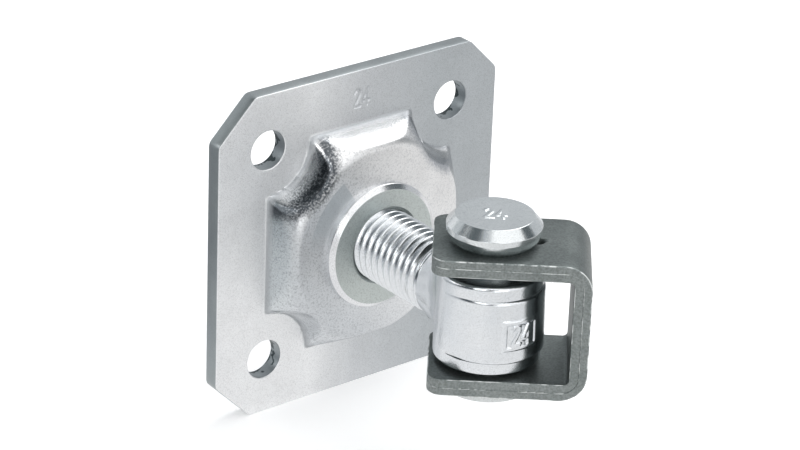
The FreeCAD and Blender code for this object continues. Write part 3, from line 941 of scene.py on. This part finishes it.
def key_slot():
    """A prism through the upper leg for the key: straight sides and a round end."""
    angle = np.linspace(-np.pi / 2, np.pi / 2, 17)
    start = 4.0
    plan = np.concatenate([[[start, -NOTCH_HALF]], np.stack([
        NOTCH_REACH - NOTCH_HALF + NOTCH_HALF * np.cos(angle), NOTCH_HALF * np.sin(angle)], -1),
        [[start, NOTCH_HALF]], [[start, -NOTCH_HALF]]])
    middle = plan.mean(0) + 0 * plan
    rows = [(middle, 10.0), (plan, 10.0), (plan, 30.0), (middle, 30.0)]
    mesh = grid_mesh(np.stack([swung(*row.T, height + 0 * row[:, 0]) for row, height in rows]))
    return facing_outwards(steel_piece("key_slot", *mesh))


def mill_steel(name, dark=(0.13, 0.15, 0.147), light=(0.19, 0.212, 0.208)):
    """Bare hot rolled steel: dark, greenish and cloudy, with fine grain along every direction."""
    material, tree, place = new_material(name)
    clouds = noise(tree, place, 90.0, 6.0, 0.62)
    grain = noise(tree, place, 1500.0, 3.0)
    colour = mix(tree, 1.0, ramp(tree, clouds, [(0.3, dark), (0.7, light)]),
                 ramp(tree, grain, [(0.35, 0.8), (0.6, 1.1)]), "MULTIPLY")
    gloss = between(tree, clouds, 0.3, 0.7, 0.38, 0.5)
    steel_shader(tree, colour, gloss, 0.9, grain, 0.5, 0.00003)
    return material


def sheared_faces(piece):
    """Which faces lie on the bar's sheared edges, and which on their burrs and break line.

    Depth into the bar is measured from the outer side of the U, round its bends.
    """
    middles = facets(piece)[0]
    c, s = np.cos(SWING), np.sin(SWING)
    x = middles[:, 0] * c + (middles[:, 1] - PIN_Y) * s
    y = -middles[:, 0] * s + (middles[:, 1] - PIN_Y) * c
    half_height = (LEG_OUTER_TOP - LEG_OUTER_BOTTOM) / 2
    above = np.abs(middles[:, 2] - (LEG_OUTER_TOP + LEG_OUTER_BOTTOM) / 2)
    depth = BEND_OUTER - np.hypot(np.clip(x - WEB_REACH + BEND_OUTER, 0, None),
                                  np.clip(above - half_height + BEND_OUTER, 0, None))
    half = bar_half_width(np.clip(x + LEG_TAIL, 0, LEG_CORNER))
    on_edge = (np.abs(y) > half - 0.32) | (x < BURR_WIDTH - LEG_TAIL)
    broken = np.abs(depth - BREAK_LINE) < 0.14
    burr = (depth < BURR_WIDTH) | broken | (depth > BAR_THICKNESS - BURR_WIDTH)
    return on_edge & ~burr, on_edge & burr


def burred_steel(name):
    """Mill steel whose sheared burr is bright where it was rubbed, in a broken line."""
    material = mill_steel(name, (0.2, 0.23, 0.225), (0.29, 0.32, 0.315))
    tree, place, shader, colour = finish_of(material)
    bright = ramp(tree, noise(tree, place, 260.0, 3.0), [(0.44, 0.0), (0.56, 1.0)])
    tree.links.new(mix(tree, bright, colour, (0.78, 0.81, 0.80)), shader.inputs["Base Color"])
    return material


bracket = facing_outwards(steel_piece("bent_bracket", *bracket_mesh(), sharp_angle=30))
for cutter in (drill(PIN_RADIUS + HOLE_CLEARANCE, 30.0), key_slot()):
    bracket = with_boolean(bracket, cutter, "DIFFERENCE")
bracket.data.materials.clear()
bracket.data.materials.append(mill_steel("bracket_mill_steel"))
sheared, burred = sheared_faces(bracket)
add_material(bracket, mill_steel("bracket_sheared", (0.215, 0.24, 0.235),
                                 (0.305, 0.33, 0.325)), sheared)
add_material(bracket, burred_steel("bracket_bright_burr"), burred)
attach(bracket, "leaf")
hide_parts("u_bracket")


# The retainer: a turned disc pushed on the pin's lower tenon and riveted there.
RETAINER_RADIUS = 14.7
retainer_corners = [(TENON_RADIUS, RETAINER_BOTTOM), (RETAINER_RADIUS, RETAINER_BOTTOM),
                    (RETAINER_RADIUS, LEG_OUTER_BOTTOM), (TENON_RADIUS, LEG_OUTER_BOTTOM)]
retainer_profile = rounded_profile(retainer_corners, [0.15, 0.6, 0.2, 0.1])
retainer_mesh = turned(retainer_profile, (0, PIN_Y, 0), (0, 0, 1))
retainer = facing_outwards(steel_piece("retainer_disc", *retainer_mesh))
retainer.data.materials.append(zinc("retainer_zinc", (0.74, 0.76, 0.76), (0.66, 0.69, 0.69),
                                    0.3, 0.0008, 0.00002))
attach(retainer, "leaf")
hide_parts("pin_retainer")


# The stage: a pale floor that the plate stands on, soft light from above and from the front
# right, and a camera where the photograph was taken from.
FLOOR_Z = -55.0
FLOOR_HALF = 6000.0


def floor():
    """White to the eye; in the steel the floor is a painted glow, whose tone falls off to the front
    and back.
    """
    corners = np.array([(-1, -1, 0), (1, -1, 0), (1, 1, 0), (-1, 1, 0)]) * FLOOR_HALF
    corners[:, 2] = FLOOR_Z
    piece = steel_piece("floor", corners, np.array([(0, 1, 2), (0, 2, 3)]))
    material, tree, place = new_material("floor_white")
    pale = node(tree, "BsdfDiffuse", {"Color": (0.92, 0.92, 0.92, 1)}).outputs["BSDF"]
    glow = node(tree, "Emission", {"Color": (1, 1, 1, 1), "Strength": 0.32}).outputs["Emission"]
    ray = node(tree, "LightPath").outputs
    lifted = node(tree, "AddShader", {0: pale, 1: glow}).outputs["Shader"]
    seen = node(tree, "MixShader", {"Fac": ray["Is Camera Ray"], 1: pale, 2: lifted})
    # Glossy rays see the floor as a painted glow, not as a lit surface.
    forward = sum_of(tree, "DOT_PRODUCT", place, (0.3, -1.0, 0.0), kind="VectorMath")
    tone = ramp(tree, between(tree, forward, -0.15, 0.25), [
        (0.05, (0.43, 0.45, 0.47)), (0.2, (0.78, 0.8, 0.82)), (0.34, 1.0), (0.66, 1.0),
        (0.82, 0.93), (0.97, 0.88)])
    painted_floor_glow = node(tree, "Emission", {"Color": tone, "Strength": 1.0}).outputs["Emission"]
    surface = node(tree, "MixShader", {"Fac": ray["Is Glossy Ray"], 1: seen.outputs["Shader"],
                                       2: painted_floor_glow})
    node(tree, "OutputMaterial", {"Surface": surface.outputs["Shader"]})
    piece.data.materials.append(material)


def soft_lamp(name, place, aim, size, power):
    """A flat rectangular lamp that looks from its place towards its aim."""
    lamp = bpy.data.lights.new(name, "AREA")
    lamp.shape = "RECTANGLE"
    lamp.size, lamp.size_y = size
    lamp.energy = power
    holder = linked(name, lamp)
    holder.location = place
    holder.rotation_mode = "QUATERNION"
    holder.rotation_quaternion = (Vector(aim) - Vector(place)).to_track_quat("-Z", "Y")


def studio_world():
    """White to the eye; what the steel mirrors is a soft grey room with pale and dark patches.

    Each patch of the room is a direction, the cosines where it starts and is full, and its tone.
    """
    world = bpy.data.worlds.new("studio")
    bpy.context.scene.world = world
    world.use_nodes = True
    tree = world.node_tree
    tree.nodes.clear()
    way = node(tree, "TexCoord").outputs["Generated"]
    room = node(tree, "RGB").outputs["Color"]
    room.default_value = (0.62, 0.64, 0.66, 1)
    patches = [((-0.3, -0.8, 0.5), 0.6, 0.9, (0.85, 0.86, 0.88)),
               ((0.5, -0.85, 0.1), 0.8, 0.95, (1.05, 1.05, 1.06)),
               ((-0.6, 0.78, 0.1), 0.6, 0.85, (0.66, 0.69, 0.71)),
               ((-0.2, 0.1, 0.97), 0.86, 0.95, (0.35, 0.38, 0.4)),
               ((0.1, -0.55, 0.83), 0.83, 0.88, (1.3, 1.3, 1.3)),
               ((0.75, -0.5, 0.43), 0.95, 0.975, (0.1, 0.12, 0.13)),
               ((-0.59, -0.68, 0.43), 0.945, 0.975, (0.06, 0.07, 0.08)),
               ((-0.98, 0.05, 0.2), 0.92, 0.96, (0.04, 0.05, 0.06)),
               ((-0.84, -0.05, 0.55), 0.93, 0.96, (0.08, 0.095, 0.105)),
               ((-0.56, 0.33, 0.75), 0.9, 0.95, (0.12, 0.14, 0.15)),
               ((-0.3, -0.93, 0.2), 0.95, 0.975, (2.0, 2.0, 2.0)),
               ((-0.73, -0.41, 0.55), 0.97, 0.985, (3.0, 3.0, 3.0)),
               ((-0.78, 0.42, 0.46), 0.97, 0.985, (2.2, 2.2, 2.2)),
               ((0.55, 0.05, 0.83), 0.86, 0.95, (1.9, 1.9, 1.9))]
    for way_to, start, full, tone in patches:
        near = sum_of(tree, "DOT_PRODUCT", way, Vector(way_to).normalized(), kind="VectorMath")
        share = between(tree, near, start, full, interpolation_type="SMOOTHSTEP")
        room = mix(tree, share, room, tone)
    shown = mix(tree, node(tree, "LightPath").outputs["Is Camera Ray"], room, (1.0, 1.0, 1.0))
    background = node(tree, "Background", {"Color": shown, "Strength": 1.0})
    node(tree, "OutputWorld", {"Surface": background.outputs["Background"]})


def camera():
    """A long lens at the photograph's direction, with its small lean to one side."""
    azimuth, elevation, roll = np.radians([-39.416, 25.018, 2.274])
    distance = 1.03975
    target = np.array([0.017477, -0.0055, -0.003218])
    back = np.array([np.sin(azimuth) * np.cos(elevation), -np.cos(azimuth) * np.cos(elevation),
                     np.sin(elevation)])
    right = np.array([np.cos(azimuth), np.sin(azimuth), 0.0])
    up = np.cross(back, right)
    leaning_right = np.cos(roll) * right + np.sin(roll) * up
    leaning_up = np.cos(roll) * up - np.sin(roll) * right
    data = bpy.data.cameras.new("camera")
    data.sensor_width = 36.0
    data.lens = 144.66
    data.clip_start, data.clip_end = 0.01, 100.0
    holder = linked("camera", data)
    place = np.stack([leaning_right, leaning_up, back], 1)
    stand = target + distance * back
    holder.matrix_world = Matrix([(*place[i], stand[i]) for i in range(3)] + [(0, 0, 0, 1)])
    bpy.context.scene.camera = holder


floor()
soft_lamp("overhead", (0.75, 0.1, 1.15), (0, -0.04, 0), (0.9, 0.7), 3.2)
studio_world()
camera()
bpy.context.scene.view_settings.view_transform = "Standard"
